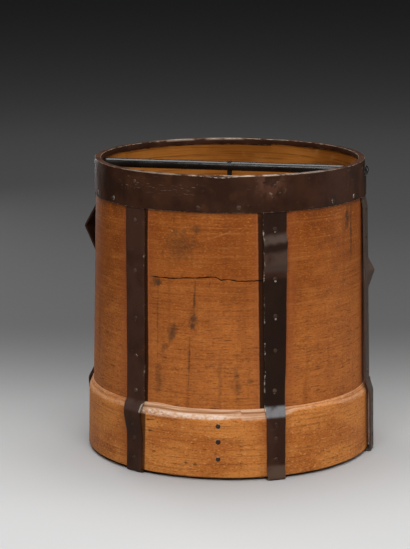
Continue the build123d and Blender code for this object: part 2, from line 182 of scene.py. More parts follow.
# Camera
CAMERA_TURN = radians(11.7)
CAMERA_DISTANCE = 1.87456
CAMERA_HEIGHT = 0.53245
CAMERA_SWING = 0.012
CAMERA_PITCH = 0.197
FOCAL_PIXELS = 2073.2
IMAGE_HEIGHT = 549
SENSOR = 36.0

# Stage: greys of the floor with the distances over which each comes in, a painted falloff of light, and
# the dim room
FLOOR_SIZE = 15
FLOOR_FRONT = 0.43
FLOOR_GREYS = ((0.073, -0.25, 0.52), (0.14, 1.1, 2.3), (0.07, 3.0, 7.0))
ROOM_GREY = 0.5
ROOM_STRENGTH = 0.12

# Lamps as the camera sees them: place to the right, away and up, width and height, watts
LAMPS = {
    "top_box": ((0.0, 0.25, 1.75), (1.4, 1.2), 33),
    "key_box": ((0.05, -1.30, 1.30), (1.4, 0.9), 28),
    "left_strip": ((-0.70, 1.25, 0.45), (0.3, 1.2), 3.5),
    "right_strip": ((1.40, 0.25, 0.50), (0.4, 1.0), 4.0),
}

# Places that follow from the sizes above
WALL_SLOPE = (WALL_FOOT_RADIUS - WALL_TOP_RADIUS) / HEIGHT
WALL_TOP = HEIGHT - BAND
BEVEL_LOW = HOOP_TOP - HOOP_BEVEL
ON_BAND = FIT + BAND
ON_STRAP = FIT + STRAP
ON_HOOP = FIT + HOOP
STRAP_TOP = WALL_TOP - STRAP_END_GAP
PAD_TOP = STRAP_TOP + ON_BAND


def wall_radius(z):
    """Outer radius of the wall at a height."""
    return WALL_FOOT_RADIUS - WALL_SLOPE * z


def bare_wall(share):
    """Height on the bare wall between the hoop and the rim band, as a share from below."""
    return HOOP_TOP + share * (BAND_LOW - HOOP_TOP)


def strap_width(name, z):
    """Width of a strap at a height."""
    at_band, at_hoop = STRAP_SPREADS.get(name, (0, 0))
    spread = at_hoop + (at_band - at_hoop) * (z - HOOP_TOP) / (BAND_LOW - HOOP_TOP)
    on_hoop = HOOP_SPREADS.get(name, 0)
    spread = on_hoop + (spread - on_hoop) * smooth((z - BEVEL_LOW) / HOOP_BEVEL)
    return STRAP_FOOT_WIDTH + (STRAP_TOP_WIDTH - STRAP_FOOT_WIDTH) * z / HEIGHT + spread


def strap_lean(name, z):
    """How far a strap has moved to its side at a height: upright under the band, leaning below."""
    at_hoop, on_hoop = STRAP_LEANS.get(name, (0, 0))
    on_wall = at_hoop * smooth((BAND_LOW - z) / (BAND_LOW - HOOP_TOP))
    return on_wall + (on_hoop - at_hoop) * smooth((HOOP_TOP - z) / HOOP_BEVEL)


def strap_bulge(name, z):
    """How far a strap stands off at a height: most at the bevel's lower edge, less down the hoop."""
    over_bevel = smooth((HOOP_TOP + BULGE_START - z) / (HOOP_BEVEL + BULGE_EASE))
    return STRAP_BULGES.get(name, 0) * over_bevel * smooth((z - BEVEL_LOW + BULGE_END) / BULGE_END)


def smooth(value):
    """Smooth step from 0 to 1."""
    t = min(max(value, 0.0), 1.0)
    return t * t * (3 - 2 * t)


def turn_apart(angle, other):
    """Signed angle from one direction to another."""
    return (angle - other + pi) % (2 * pi) - pi


def ripple(angle, z, size, seed):
    """Even noise of about one swell for each size, from -1 to 1."""
    swell = WALL_FOOT_RADIUS / size
    return noise.noise(Vector((swell * cos(angle), swell * sin(angle), z / size + seed)))


def swells(angle, z, layers):
    """Unevenness of a bent sheet: the sum of its swells."""
    return sum(height * ripple(angle, z, size, seed) for height, size, seed in layers)


def hump(angle, middle, spread):
    """Rounded hump over an angle, 1 in its middle."""
    return exp(-(turn_apart(angle, middle) / spread) ** 2)


def from_camera(across, away, up):
    """Point given as the camera sees it: to the right, away from it, and up."""
    return Matrix.Rotation(CAMERA_TURN, 3, "Z") @ Vector((across, away, up))


# Meshes

def climb(stand_off, low, top, rows):
    """Points of radius and height up or down the wall, at a stand-off from it."""
    heights = [low + (top - low) * row / rows for row in range(rows + 1)]
    return [(wall_radius(z) + stand_off, z) for z in heights]


def lathe(outline, steps):
    """Closed ring spun from an outline of radius and height points."""
    bm = bmesh.new()
    corners = [bm.verts.new((radius, 0, z)) for radius, z in outline]
    sides = [bm.edges.new(pair) for pair in zip(corners, corners[1:] + corners[:1])]
    bmesh.ops.spin(
        bm, geom=corners + sides, cent=(0, 0, 0), axis=(0, 0, 1), dvec=(0, 0, 0),
        angle=2 * pi, steps=steps, use_merge=True,
    )
    bmesh.ops.remove_doubles(bm, verts=bm.verts, dist=1e-6)
    bmesh.ops.recalc_face_normals(bm, faces=bm.faces)
    return bm


def soften(bm, width, segments=2, least=radians(35)):
    """Round the sharp edges of a mesh."""
    sharp = [edge for edge in bm.edges if edge.is_manifold and edge.calc_face_angle() > least]
    bmesh.ops.bevel(
        bm, geom=sharp, offset=width, offset_type="OFFSET", affect="EDGES",
        segments=segments, profile=0.5, material=-1, clamp_overlap=True,
    )


def reshape(bm, form):
    """Move the points of a ring: form gives radius and height for an angle, radius and height."""
    for vert in bm.verts:
        angle = atan2(vert.co.y, vert.co.x)
        radius, z = form(angle, hypot(vert.co.x, vert.co.y), vert.co.z)
        vert.co = (radius * cos(angle), radius * sin(angle), z)


def mark_worn(bm, full=radians(30)):
    """Keep on each point how sharp an edge it lies on, for the rubbed edges of iron."""
    bm.normal_update()
    wear_and_highlight = bm.verts.layers.float.new("wear_and_highlight")
    for vert in bm.verts:
        sharpest = max((edge.calc_face_angle(0) for edge in vert.link_edges), default=0)
        vert[wear_and_highlight] = min(sharpest / full, 1.0)
    return wear_and_highlight


def new_object(name, data):
    """Put a mesh, lamp or camera into the scene."""
    made = bpy.data.objects.new(name, data)
    bpy.context.scene.collection.objects.link(made)
    return made


def new_piece(name, bm, slot, *nodes):
    """Make a piece of a mesh, with the finish of a record slot, in place of CAD nodes."""
    mesh = bpy.data.meshes.new(name)
    bm.to_mesh(mesh)
    bm.free()
    mesh.materials.append(FINISHES[slot])
    mesh.shade_smooth()
    mesh.set_sharp_from_angle(angle=radians(50))
    piece = new_object(name, mesh)
    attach(piece, "root")
    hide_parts(*nodes)


def lap_lift(angle, seam, height):
    """How far the lapped end of a bent sheet stands up: it ends at its seam."""
    behind = -turn_apart(angle, seam) * WALL_FOOT_RADIUS
    return height * exp(-behind / LAP_EASE) if behind > 0 else 0.0


# Bent wooden wall

WALL_STEPS = 560

# Crack along the grain in front: its way as angle in degrees and height, its sizes, and how it opens
CRACK = (
    (-113, 0.1767), (-110.1, 0.1771), (-103.1, 0.1773), (-94.4, 0.1788), (-84.2, 0.1804),
    (-81.4, 0.1779), (-79.0, 0.1784), (-74.2, 0.1769), (-65.3, 0.1769), (-61, 0.1765),
)
CRACK_LEVEL = 0.178
CRACK_EDGE = 0.00075
CRACK_FLOOR = 0.00045
CRACK_DEPTH = 0.0022
CRACK_REACH = 0.020
CRACK_JAG = 0.0004
CRACK_RUN_IN = 4
CRACK_RUN_OUT = 3
CRACK_OPEN = 0.72
CRACK_OPEN_CHANGE = 0.5


def crack_height(degrees):
    """Height of the crack in the front of the wall at an angle."""
    for (near, low), (far, high) in zip(CRACK, CRACK[1:]):
        if near <= degrees <= far:
            return low + (high - low) * smooth((degrees - near) / (far - near))
    return CRACK[0][1] if degrees < CRACK[0][0] else CRACK[-1][1]


def crack_gape(degrees):
    """How far the crack has opened at an angle, from 0 to about 1."""
    run_in = smooth((degrees - CRACK[0][0]) / CRACK_RUN_IN)
    run_out = smooth((CRACK[-1][0] - degrees) / CRACK_RUN_OUT)
    opened = CRACK_OPEN + CRACK_OPEN_CHANGE * noise.noise(Vector((degrees * 0.35, 5, 0)))
    return run_in * run_out * opened


def make_wall():
    """Bent sheet with its ends lapped at the back and a crack along the grain in front."""
    outer = climb(0, STRAP, CRACK_LEVEL - 2 * CRACK_EDGE, 44)
    outer += [
        (wall_radius(CRACK_LEVEL), CRACK_LEVEL + rise)
        for rise in (-CRACK_EDGE, -CRACK_FLOOR, CRACK_FLOOR, CRACK_EDGE)
    ]
    outer += climb(0, CRACK_LEVEL + 2 * CRACK_EDGE, WALL_TOP, 22)
    inner = climb(-WALL, WALL_TOP, STRAP, 30)
    bm = lathe(outer + inner, WALL_STEPS)

    def form(angle, radius, z):
        bare = smooth((z - HOOP_TOP) / 0.01) * smooth((BAND_LOW - z) / 0.01)
        wave = swells(angle, z, WALL_SWELLS)
        if radius < wall_radius(z) - WALL / 2:
            return radius + bare * wave - lap_lift(-angle, -WALL_INNER_SEAM, WALL_INNER_LAP_LIFT), z
        degrees = angle * 180 / pi
        above = z - CRACK_LEVEL
        gape = crack_gape(degrees)
        jag = CRACK_JAG * noise.noise(Vector((degrees * 0.9, 0, 0)))
        sway = (crack_height(degrees) + jag - CRACK_LEVEL) * smooth(1 - abs(above) / CRACK_REACH)
        if abs(above) < 1.5 * CRACK_EDGE:
            above *= max(gape, 0.1)
        sunk = CRACK_DEPTH * gape if abs(z - CRACK_LEVEL) < 1.2 * CRACK_FLOOR else 0.0
        lapped = lap_lift(angle, WALL_SEAM, WALL_LAP_LIFT)
        return radius + bare * wave - sunk + lapped, CRACK_LEVEL + above + sway

    reshape(bm, form)
    new_piece("bent_wall", bm, "wall_wood", "body_wall")


# Foot hoop

# Uneven cut of the bevel, a crest on it, and the rubbed foot
HOOP_ROUNDING = 0.0004
HOOP_HAND_CUT = 0.0005
BEVEL_RUN_UP = 0.004
BEVEL_RUN_DOWN = 0.0020
HOOP_CREST = 0.0016
HOOP_CREST_ANGLE = radians(-108)
HOOP_CREST_SPREAD = radians(7)
FOOT_RUB = 0.0016
FOOT_RUB_CHANGE = 0.0006
FOOT_RUB_REACH = 0.004

# Line scribed along the bevel: heights above the bevel's lower edge, and stand-offs
SCRIBED_LINE = ((0.0049, 0.0019), (0.0052, 0.00165), (0.0055, 0.0017))


def bevel_rise(angle):
    """How far the bevel's lower edge runs up right of the front straps, and down between them."""
    degrees = angle * 180 / pi
    run_up = BEVEL_RUN_UP * smooth((degrees + 57) / 6) * smooth(1 - (degrees + 38) / 20)
    return run_up - BEVEL_RUN_DOWN * smooth((degrees + 122) / 5) * smooth((-57 - degrees) / 5)


def make_hoop():
    """Bent hoop round the foot, bevelled on top with a scribed line, lapped in front."""
    bevel = [(BEVEL_LOW + rise, stand_off) for rise, stand_off in SCRIBED_LINE]
    bevel.append((HOOP_TOP, HOOP_LAND))
    outline = climb(ON_HOOP, STRAP, BEVEL_LOW, 18)
    outline += [(wall_radius(z) + FIT + stand_off, z) for z, stand_off in bevel]
    outline += climb(FIT, HOOP_TOP, STRAP, 6)
    bm = lathe(outline, WALL_STEPS)
    soften(bm, HOOP_ROUNDING, 2, radians(20))

    def form(angle, radius, z):
        stand_off = radius - wall_radius(z)
        if stand_off < FIT + HOOP_LAND / 2 and z < HOOP_TOP - 0.001:
            return radius, z
        wave = swells(angle, z, HOOP_SWELLS)
        above = z - BEVEL_LOW
        near = 1 - above / HOOP_BEVEL if above > 0 else smooth(1 + above / 0.02)
        hand_cut = near * (HOOP_HAND_CUT * ripple(angle, 0, 0.04, 40) + bevel_rise(angle))
        crest = HOOP_CREST * hump(angle, HOOP_CREST_ANGLE, HOOP_CREST_SPREAD)
        crest *= smooth(above / HOOP_BEVEL)
        foot_rub = FOOT_RUB + FOOT_RUB_CHANGE * abs(ripple(angle, 0, 0.02, 50))
        foot_rub *= smooth(1 - (z - STRAP) / FOOT_RUB_REACH)
        lapped = lap_lift(angle, HOOP_SEAM, HOOP_LAP_LIFT)
        return radius + wave + lapped, z + hand_cut + crest + foot_rub

    reshape(bm, form)
    new_piece("foot_hoop", bm, "hoop_wood", "base_hoop")


# Iron rim band

# How the band is raised over straps, rises at the back, is cut and nicked, and was knocked in front
BAND_STEPS = 720
BAND_ROUNDING = 0.0004
PAD_MARGIN = 0.002
PAD_EASE_BESIDE = 0.010
PAD_EASE_ABOVE = 0.009
RIM_RISE = 0.0004
RIM_BACK_RISE = 0.0008
RIM_RISE_REACH = 0.012
LIP_OVER_BAR = 0.0010
LIP_CUT = 0.0005
LIP_DENT = 0.0002
SKIRT_SWAY = 0.0005
CREST_NICKS = 0.0003
KNOCK = radians(-82)
KNOCK_SPREAD = radians(6)
KNOCK_DEPTH = 0.0014
KNOCK_REACH = 0.010


def pad_lift(angle, z):
    """How far the rim band is raised over the end of a strap."""
    nearest = min(abs(turn_apart(angle, at)) for at in STRAP_ANGLES.values())
    beside = nearest * wall_radius(z) - STRAP_TOP_WIDTH / 2
    in_width = smooth(1 - (beside + PAD_MARGIN) / PAD_EASE_BESIDE)
    return ON_STRAP * in_width * smooth((PAD_TOP + PAD_MARGIN - z) / PAD_EASE_ABOVE)


def rim_rise(angle):
    """How far the rim stands above level: a little more at the back."""
    return RIM_RISE + RIM_BACK_RISE * smooth(0.5 + 0.6 * cos(angle - radians(90) - CAMERA_TURN))


def make_band():
    """Iron strip folded over the rim, raised over the straps, dented, its ends lapped behind."""
    lip_radius = wall_radius(HEIGHT) - WALL
    lip = [
        (lip_radius - ON_BAND, HEIGHT),
        (lip_radius - ON_BAND, HEIGHT - LIP_DEPTH / 2),
        (lip_radius - ON_BAND, HEIGHT - LIP_DEPTH),
        (lip_radius - FIT, HEIGHT - LIP_DEPTH),
        (lip_radius - FIT, WALL_TOP),
    ]
    outline = climb(ON_BAND, BAND_LOW, HEIGHT, 22) + lip + climb(FIT, WALL_TOP, BAND_LOW, 20)
    bm = lathe(outline, BAND_STEPS)
    soften(bm, BAND_ROUNDING, 3)

    def form(angle, radius, z):
        raised = z + rim_rise(angle) * smooth(1 - (HEIGHT - z) / RIM_RISE_REACH)
        if radius < lip_radius + FIT:
            low = smooth((HEIGHT - z - 0.001) / (LIP_DEPTH - 0.001))
            shallow = LIP_STEP_START < angle < BAND_SEAM
            over_bar = smooth(1.6 - abs(radius * sin(angle)) / BAR_RADIUS)
            rise = (LIP_STEP if shallow else 0.0) + LIP_OVER_BAR * over_bar
            rise += LIP_CUT * ripple(angle, 0, 0.02, 61)
            return radius + LIP_DENT * low * ripple(angle, z, 0.015, 66), raised + low * rise
        skirt_share = smooth((HEIGHT - z) / 0.003)
        if radius < wall_radius(z):
            skirt_share *= smooth((radius - wall_radius(z) + WALL) / WALL)
        dent = swells(angle, z, BAND_DENTS)
        lift = skirt_share * (dent + pad_lift(angle, z) + lap_lift(angle, BAND_SEAM, BAND_LAP_LIFT))
        edge = smooth(1 - (z - BAND_LOW) / 0.004)
        crest = smooth(1 - (HEIGHT - z) / 0.002)
        sway = edge * SKIRT_SWAY * ripple(angle, 0, 0.03, 80)
        sway -= crest * CREST_NICKS * abs(ripple(angle, 0, 0.018, 85))
        knock = KNOCK_DEPTH * hump(angle, KNOCK, KNOCK_SPREAD) * smooth(1 - (HEIGHT - z) / KNOCK_REACH)
        return radius + lift, raised + sway - knock

    reshape(bm, form)
    mark_worn(bm)
    new_piece("rim_binding", bm, "band_iron", "rim_band")


# Nails

def with_strap(place):
    """Nail place moved along with a strap that leans, stands off or has settled."""
    for name, turn in STRAP_ANGLES.items():
        if abs(turn_apart(atan2(place.y, place.x), turn)) < radians(4):
            leaned = place + Vector((-sin(turn), cos(turn), 0)) * strap_lean(name, place.z)
            settled = STRAP_SETTLES.get(name, 0) if HOOP_TOP < place.z < BAND_LOW else 0.0
            return leaned + Vector((cos(turn), sin(turn), 0)) * (strap_bulge(name, place.z) - settled)
    return place


def nail_places(node):
    """Tops of the nail heads in a CAD node, in a steady order."""
    bm = bmesh.new()
    bm.from_mesh(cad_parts[node].data)
    bmesh.ops.remove_doubles(bm, verts=bm.verts, dist=1e-5)
    left = set(bm.verts)
    places = []
    while left:
        island = [left.pop()]
        for vert in island:
            near = {edge.other_vert(vert) for edge in vert.link_edges} & left
            island += near
            left -= near
        top = max(hypot(vert.co.x, vert.co.y) for vert in island)
        head = [vert.co for vert in island if hypot(vert.co.x, vert.co.y) > top - NAIL_HEIGHT / 2]
        places.append(sum(head, Vector()) / len(head))
    bm.free()
    places = [with_strap(place) for place in places]
    return sorted(places, key=lambda place: (round(place.z, 4), round(atan2(place.y, place.x), 3)))


NAIL_NODES = (
    "strap_nails", "foot_nails", "strap_end_nails", "rim_nails", "hoop_lap_nails", "wall_lap_nails",
)
NAILS = {node: nail_places(node) for node in NAIL_NODES}
DIMPLED = ("strap_nails", "foot_nails")
NAIL_WIDTH = {"hoop_lap_nails": 1.2}
NAIL_SINK = {"strap_nails": DIMPLE_DEPTH, "foot_nails": DIMPLE_DEPTH, "strap_end_nails": 0.0009}
LEAST_SINK = 0.0002
NAIL_TILT = 0.12


def add_head(bm, seat, outward, radius, height, sides):
    """Domed head on a seat, added to a mesh."""
    lean = outward.to_track_quat("Z", "Y").to_matrix().to_4x4()
    made = bmesh.ops.create_cone(
        bm, cap_ends=True, segments=sides, radius1=radius, radius2=0.86 * radius, depth=height / 2,
        matrix=Matrix.Translation(seat + outward * height / 4) @ lean,
    )
    faces = {face for vert in made["verts"] for face in vert.link_faces}
    crown = max(faces, key=lambda face: face.calc_center_median().dot(outward))
    bmesh.ops.inset_region(bm, faces=[crown], thickness=0.26 * radius, depth=0.28 * height)
    bmesh.ops.inset_region(bm, faces=[crown], thickness=0.28 * radius, depth=0.16 * height)


def make_nails(node):
    """Hammered nail heads of one kind, each a little different."""
    draw = random.Random(node)
    bm = bmesh.new()
    for place in NAILS[node]:
        outward = Vector((place.x, place.y, 0)).normalized()
        outward = (outward + Vector((0, 0, draw.uniform(-NAIL_TILT, NAIL_TILT)))).normalized()
        seat = place - outward * (NAIL_HEIGHT + NAIL_SINK.get(node, LEAST_SINK))
        radius = NAIL_RADIUS * draw.uniform(0.88, 1.04) * NAIL_WIDTH.get(node, 1.0)
        add_head(bm, seat, outward, radius, NAIL_HEIGHT, 14)
    mark_worn(bm, radians(60))
    new_piece(node.replace("nails", "nail_heads"), bm, "nail_iron", node)


# Iron straps

# Mesh of the straps, and the unevenness of their edges and faces
STRAP_STEP = 0.001
STRAP_EASING = 4
STRAP_COLUMNS = 24
STRAP_ROUNDING = 0.0003
EDGE_SWAY = 0.00035
FACE_DENT = 0.00016
EDGE_ROLL = 0.0004
ROLL_FROM = 0.82
FULL_BOW = 0.0028


def strap_route(name):
    """Outer face of a strap as points of radius and height, from under the band to the foot."""
    hoop_seat = ON_HOOP + ON_STRAP + STRAP_HOOP_LIFTS.get(name, 0)
    joggle_top = HOOP_TOP + (HOOP_LAND + FIT) * HOOP_BEVEL / (HOOP - HOOP_LAND)
    corners = [(wall_radius(STRAP_TOP) + ON_STRAP, STRAP_TOP)]
    for share, lift in STRAP_BOWS.get(name, ()):
        corners.append((wall_radius(bare_wall(share)) + ON_STRAP + lift, bare_wall(share)))
    corners += [
        (wall_radius(joggle_top) + ON_STRAP + STRAP_JOGGLE_LIFTS.get(name, 0), joggle_top),
        (wall_radius(BEVEL_LOW) + hoop_seat, BEVEL_LOW),
        (wall_radius(0) + hoop_seat, 0.0),
        (wall_radius(0) + ON_HOOP - FOLD, 0.0),
    ]
    return [Vector(corner) for corner in corners]


def even_route(corners, spacing, passes):
    """Points at even steps along a route, with its corners eased."""
    points = []
    for near, far in zip(corners, corners[1:]):
        count = max(1, round((far - near).length / spacing))
        points += [near.lerp(far, step / count) for step in range(count)]
    points.append(corners[-1])
    for _ in range(passes):
        eased = [(a + 2 * b + c) / 4 for a, b, c in zip(points, points[1:], points[2:])]
        points = [points[0], *eased, points[-1]]
    return points


def rub_and_highlight_strap(bm, name, nails, across):
    """Mark the wear of a strap, at its edges and most along one side, and paint highlights of bare metal
    below its nails and on a corner.
    """
    wear_and_highlight = mark_worn(bm, radians(45))
    side, share = RUBBED_SIDES.get(name, (0, 0))
    for vert in bm.verts:
        vert[wear_and_highlight] *= STRAP_RUBBED.get(name, 1.0)
        # Painted highlight: bare metal below each nail, on the lit lower side of its dimple
        for place in nails:
            below = place - Vector((0, 0, NAIL_HIGHLIGHT_REACH)) - vert.co
            bright = FRONT_NAIL_HIGHLIGHT if name == "front_right" and place.z > HOOP_TOP else 1.0
            vert[wear_and_highlight] = max(vert[wear_and_highlight], bright * smooth(1.3 - below.length / NAIL_HIGHLIGHT_REACH))
        beside = side * (vert.co.dot(across) - strap_lean(name, vert.co.z))
        if vert.co.z > BEVEL_LOW and beside > RUBBED_FROM * strap_width(name, vert.co.z):
            # Painted highlight: bare metal on a corner of the front left strap at the bevel
            corner = name == "front_left" and vert.co.z < HOOP_TOP - 0.001
            vert[wear_and_highlight] = max(vert[wear_and_highlight], CORNER_HIGHLIGHT if corner else share)


def make_strap(name):
    """Forged strap with dimples under its nails, uneven edges and a fold under the foot."""
    turn = STRAP_ANGLES[name]
    outward = Vector((cos(turn), sin(turn), 0))
    across = Vector((-sin(turn), cos(turn), 0))
    route = even_route(strap_route(name), STRAP_STEP, STRAP_EASING)
    last = len(route) - 1
    nails = [
        place for node in DIMPLED for place in NAILS[node]
        if abs(turn_apart(atan2(place.y, place.x), turn)) < radians(5)
    ]
    seed = 100 * turn
    twist, still = STRAP_TWISTS.get(name, (0.0, 0.0))
    settle = STRAP_SETTLES.get(name, 0)
    bm = bmesh.new()
    bmesh.ops.create_grid(bm, x_segments=STRAP_COLUMNS, y_segments=last, size=1)
    for vert in bm.verts:
        step = round((1 - vert.co.y) / 2 * last)
        side = vert.co.x
        radius, z = route[step]
        ahead = (route[min(step + 1, last)] - route[max(step - 1, 0)]).normalized()
        sway = EDGE_SWAY * noise.noise(Vector((seed, step * 0.045, 2 * round(side))))
        beside = side * strap_width(name, z) / 2 + abs(side) ** 3 * (sway if side > 0 else -sway)
        beside += strap_lean(name, z)
        bow = radius - wall_radius(z) - ON_STRAP if z > HOOP_TOP + 0.003 else 0.0
        radius -= twist * max(bow - still, 0.0) * (1 - side) / 2
        radius += strap_bulge(name, z) - settle * smooth(bow / FULL_BOW)
        if name == "front_right":
            radius += FOOT_BULGE * smooth(1 - z / FOOT_BULGE_TOP)
        lift = FACE_DENT * noise.noise(Vector((beside * 90, step * 0.07, seed)))
        lift -= EDGE_ROLL * max(0.0, abs(side) - ROLL_FROM) / (1 - ROLL_FROM)
        for place in nails:
            apart = hypot(beside - place.dot(across), place.z - z, 0.5 * (place.dot(outward) - radius))
            lift -= DIMPLE_DEPTH * smooth(1 - apart / DIMPLE_RADIUS)
        radius -= ahead.y * lift
        z += ahead.x * lift
        vert.co = outward * radius + across * beside + Vector((0, 0, max(z, 0.0)))
    bmesh.ops.recalc_face_normals(bm, faces=bm.faces)
    front = max(bm.faces, key=lambda face: face.calc_center_median().dot(outward))
    if front.normal.dot(outward) < 0:
        bmesh.ops.reverse_faces(bm, faces=bm.faces)
    bmesh.ops.solidify(bm, geom=bm.faces[:], thickness=STRAP)
    bmesh.ops.recalc_face_normals(bm, faces=bm.faces)
    soften(bm, STRAP_ROUNDING, 2, radians(60))
    rub_and_highlight_strap(bm, name, nails, across)
    new_piece(f"iron_strap_{name}", bm, "strap_iron", f"strap_{name}")


# Bar across the mouth and rod

def make_bar():
    """Round forged bar with riveted ends outside the band."""
    reach = wall_radius(BAR_MIDDLE) - WALL - FIT
    bm = bmesh.new()
    bmesh.ops.create_cone(
        bm, cap_ends=True, segments=40, radius1=BAR_RADIUS, radius2=BAR_RADIUS, depth=2 * reach
    )
    long_edges = [edge for edge in bm.edges if edge.calc_length() > reach]
    bmesh.ops.subdivide_edges(bm, edges=long_edges, cuts=120, use_grid_fill=True)
    bmesh.ops.transform(
        bm, verts=bm.verts,
        matrix=Matrix.Translation((0, 0, BAR_MIDDLE)) @ Matrix.Rotation(pi / 2, 4, "Y"),
    )
    for vert in bm.verts:
        swell = 1 + 0.02 * noise.noise(Vector((vert.co.x * 40, 0, 0)))
        swell += 0.018 * noise.noise(vert.co * 160)
        vert.co.y *= swell
        vert.co.z = BAR_MIDDLE + (vert.co.z - BAR_MIDDLE) * swell
    seat = BAR_END - RIVET_HEIGHT
    for end in (-1, 1):
        place = Vector((end * seat, 0, BAR_MIDDLE))
        add_head(bm, place, Vector((end, 0, 0)), RIVET_RADIUS, RIVET_HEIGHT, 20)
    mark_worn(bm, radians(60))
    new_piece("mouth_bar", bm, "bar_iron", "crossbar")


def make_rod():
    """Rod from the bar to the bottom, with a collar on the boards and both ends peened over."""
    bar_low = BAR_MIDDLE - BAR_RADIUS
    shank = [bar_low + (BOARD_TOP - bar_low) * row / ROD_ROWS for row in range(ROD_ROWS - 2)]
    outline = [
        (0, ROD_TOP - 0.0003), (0.6 * PEEN_RADIUS, ROD_TOP - 0.0005),
        (0.85 * PEEN_RADIUS, ROD_TOP - 0.0009), (ROD_RADIUS, ROD_TOP - PEEN_HEIGHT),
        *[(ROD_RADIUS, z) for z in shank],
        (ROD_RADIUS, BOARD_TOP + COLLAR_HEIGHT), (0.85 * COLLAR_RADIUS, BOARD_TOP + COLLAR_HEIGHT),
        (COLLAR_RADIUS, BOARD_TOP + 0.7 * COLLAR_HEIGHT), (COLLAR_RADIUS, BOARD_TOP),
        (ROD_RADIUS, BOARD_TOP), (ROD_RADIUS, ROD_LOW + PEEN_HEIGHT), (PEEN_RADIUS, ROD_LOW + 0.0008),
        (0.6 * PEEN_RADIUS, ROD_LOW), (0, ROD_LOW),
    ]
    bm = lathe(outline, 28)
    for vert in bm.verts:
        if BOARD_TOP + COLLAR_HEIGHT < vert.co.z < bar_low:
            swell = 1 + 0.05 * noise.noise(Vector((0, 0, vert.co.z * 60)))
            swell += 0.03 * noise.noise(vert.co * 200)
            vert.co.x *= swell
            vert.co.y *= swell
    mark_worn(bm, radians(60))
    new_piece("centre_stem", bm, "bar_iron", "centre_rod")


# Shader writing

class Wire:
    """A shader socket that takes part in sums."""

    def __init__(self, finish, socket):
        self.finish = finish
        self.socket = socket

    def out(self, key):
        """Another output of the same node."""
        return Wire(self.finish, self.socket.node.outputs[key])

    def __add__(self, other):
        return self.finish.sum("ADD", self, other)

    def __sub__(self, other):
        return self.finish.sum("SUBTRACT", self, other)

    def __rsub__(self, other):
        return self.finish.sum("SUBTRACT", other, self)

    def __mul__(self, other):
        return self.finish.sum("MULTIPLY", self, other)

    def __truediv__(self, other):
        return self.finish.sum("DIVIDE", self, other)

    def __pow__(self, other):
        return self.finish.sum("POWER", self, other)

    def __abs__(self):
        return self.finish.sum("ABSOLUTE", self)

    __radd__ = __add__
    __rmul__ = __mul__


class Finish:
    """A material being written: its nodes, and the Object coordinates that its patterns follow."""

    def __init__(self, name):
        self.material = bpy.data.materials.new(name)
        self.material.use_nodes = True
        self.tree = self.material.node_tree
        self.shader = self.tree.nodes["Principled BSDF"]
        self.place = self.node("ShaderNodeTexCoord", out="Object")
        split = self.node("ShaderNodeSeparateXYZ", sockets={0: self.place})
        self.x, self.y, self.z = split, split.out("Y"), split.out("Z")

    def plug(self, socket, value):
        """Link a wire to a socket, or set a number, vector or colour on it."""
        if isinstance(value, Wire):
            self.tree.links.new(value.socket, socket)
        elif socket.type == "RGBA":
            socket.default_value = (*value, 1.0)
        else:
            socket.default_value = value

    def node(self, kind, settings=None, sockets=None, out=0):
        """Any node: its settings first, then its sockets."""
        node = self.tree.nodes.new(kind)
        for key, value in (settings or {}).items():
            setattr(node, key, value)
        for key, value in (sockets or {}).items():
            self.plug(node.inputs[key], value)
        return Wire(self, node.outputs[out])

    def sum(self, operation, *values):
        """Math node on wires and numbers."""
        return self.node("ShaderNodeMath", {"operation": operation}, dict(enumerate(values)))

    def vector(self, x, y, z):
        """Vector of three values."""
        return self.node("ShaderNodeCombineXYZ", sockets={0: x, 1: y, 2: z})

    def noise(self, place, scales, detail=3.0, distortion=0.0):
        """Noise stretched by a scale for each direction."""
        stretched = self.node("ShaderNodeVectorMath", {"operation": "MULTIPLY"}, {0: place, 1: scales})
        return self.node(
            "ShaderNodeTexNoise",
            sockets={"Vector": stretched, "Scale": 1.0, "Detail": detail, "Distortion": distortion},
        )

    def fade(self, value, start, end):
        """Smooth step from 0 at start to 1 at end."""
        return self.node(
            "ShaderNodeMapRange", {"interpolation_type": "SMOOTHSTEP"},
            {"Value": value, "From Min": start, "From Max": end},
        )

    def between(self, value, start, full, fading, end):
        """1 between two values, with a smooth fall to 0 on both sides."""
        return self.fade(value, start, full) * self.fade(value, end, fading)

    def about(self, angle, middle, none, full):
        """1 round an angle and 0 further off, all in degrees."""
        return self.fade(abs(angle - radians(middle)), radians(none), radians(full))

    def mix(self, base, over, share):
        """One colour laid over another by a share."""
        return self.node("ShaderNodeMix", {"data_type": "RGBA"}, {0: share, 6: base, 7: over}, out=2)

    def layer(self, over, share):
        """Lay another colour over the finish so far."""
        self.colour = self.mix(self.colour, over, share)

    def bump(self, height, distance):
        """Normal from a height in metres times a distance."""
        return self.node("ShaderNodeBump", sockets={"Height": height, "Distance": distance})

    def done(self, **sockets):
        """Set the shader's sockets and hand over the material."""
        for key, value in sockets.items():
            self.plug(self.shader.inputs[key.replace("_", " ").title().replace("Ior", "IOR")], value)
        return self.material


